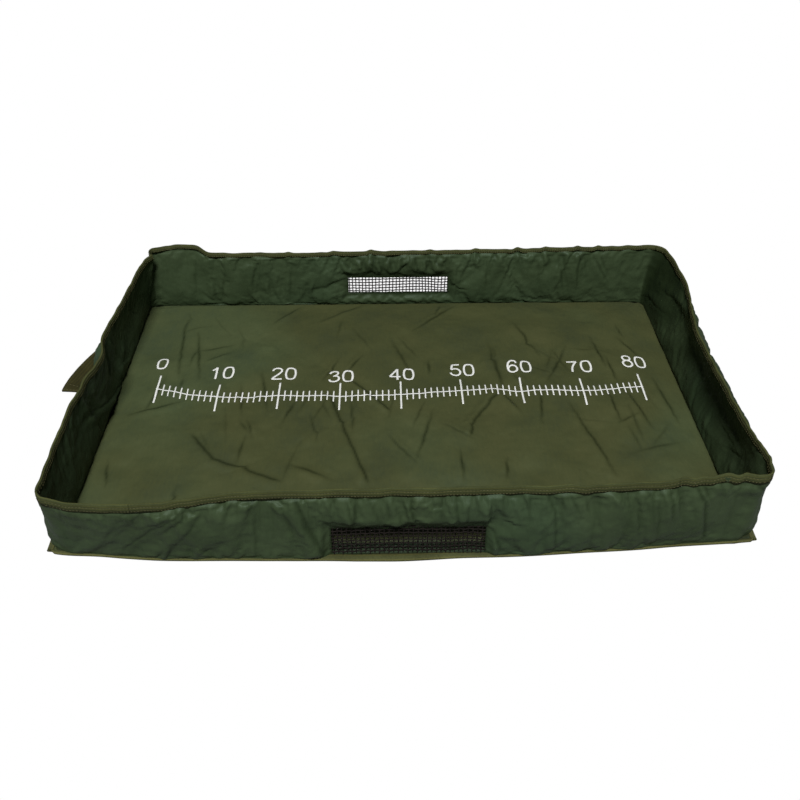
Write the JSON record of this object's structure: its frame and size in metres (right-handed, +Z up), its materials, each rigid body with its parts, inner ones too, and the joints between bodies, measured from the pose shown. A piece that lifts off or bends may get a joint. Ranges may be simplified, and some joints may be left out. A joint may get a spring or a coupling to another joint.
{
  "type": "unhooking mat",
  "caption": "Shallow padded tray with a foam floor, fold-down padded walls, drain mesh windows and a webbing closure strap, to lay a landed fish on.",
  "frame": {"origin": "centre of the base sheet's flat underside, on the plane that the mat lies on", "axes": "+X along the long side and the printed ruler, +Y towards the rear wall, +Z up"},
  "size_m": [1.0317, 0.636, 0.124],
  "materials": {
    "floor_nylon": "smooth woven nylon, slight sheen",
    "wall_nylon": "smooth woven nylon, slight sheen",
    "base_sheet": "coated woven, waterproof",
    "foam": "closed cell foam",
    "rim_tape": "ribbed binding tape",
    "base_tape": "ribbed binding tape",
    "drain_mesh": "coated mesh",
    "webbing": "ribbed webbing"
  },
  "bodies": {
    "floor": {"base_sheet": "base_sheet", "floor_core": "foam", "floor_cover": "floor_nylon", "base_tape": "base_tape", "front_wall_left_end": "wall_nylon", "front_wall_right_end": "wall_nylon", "rear_wall_left_end": "wall_nylon", "rear_wall_right_end": "wall_nylon", "left_wall_front_end": "wall_nylon", "left_wall_rear_end": "wall_nylon", "right_wall_front_end": "wall_nylon", "right_wall_rear_end": "wall_nylon", "front_left_corner_tape": "rim_tape", "front_right_corner_tape": "rim_tape", "rear_left_corner_tape": "rim_tape", "rear_right_corner_tape": "rim_tape"},
    "front_wall": {"front_wall_core": "foam", "front_wall_outer_skin": "wall_nylon", "front_wall_inner_skin": "wall_nylon", "front_drain_mesh": "drain_mesh", "front_rim_tape": "rim_tape"},
    "rear_wall": {"rear_wall_core": "foam", "rear_wall_outer_skin": "wall_nylon", "rear_wall_inner_skin": "wall_nylon", "rear_drain_mesh": "drain_mesh", "rear_rim_tape": "rim_tape"},
    "left_wall": {"left_wall_core": "foam", "left_wall_outer_skin": "wall_nylon", "left_wall_inner_skin": "wall_nylon", "left_rim_tape": "rim_tape", "strap_patch": "webbing"},
    "right_wall": {"right_wall_core": "foam", "right_wall_outer_skin": "wall_nylon", "right_wall_inner_skin": "wall_nylon", "right_rim_tape": "rim_tape"},
    "strap": {"closure_strap": "webbing"}
  },
  "joints": [
    {"name": "front_fold", "type": "hinge", "parent": "floor", "child": "front_wall", "pos_m": [0, -0.295, 0.0091], "axis": [-1, 0, 0], "range_deg": [0, 82], "deforming": ["front_wall_left_end", "front_wall_right_end", "front_left_corner_tape", "front_right_corner_tape"]},
    {"name": "rear_fold", "type": "hinge", "parent": "floor", "child": "rear_wall", "pos_m": [0, 0.295, 0.0091], "axis": [1, 0, 0], "range_deg": [0, 82], "deforming": ["rear_wall_left_end", "rear_wall_right_end", "rear_left_corner_tape", "rear_right_corner_tape"]},
    {"name": "left_fold", "type": "hinge", "parent": "floor", "child": "left_wall", "pos_m": [-0.468, 0, 0.0091], "axis": [0, 1, 0], "range_deg": [0, 82], "deforming": ["left_wall_front_end", "left_wall_rear_end"]},
    {"name": "right_fold", "type": "hinge", "parent": "floor", "child": "right_wall", "pos_m": [0.468, 0, 0.0091], "axis": [0, -1, 0], "range_deg": [0, 82], "deforming": ["right_wall_front_end", "right_wall_rear_end"]},
    {"name": "strap_swing", "type": "hinge", "parent": "left_wall", "child": "strap", "pos_m": [-0.4844, 0.085, 0.062], "axis": [0, 0, -1], "range_deg": [0, 150]}
  ]
}
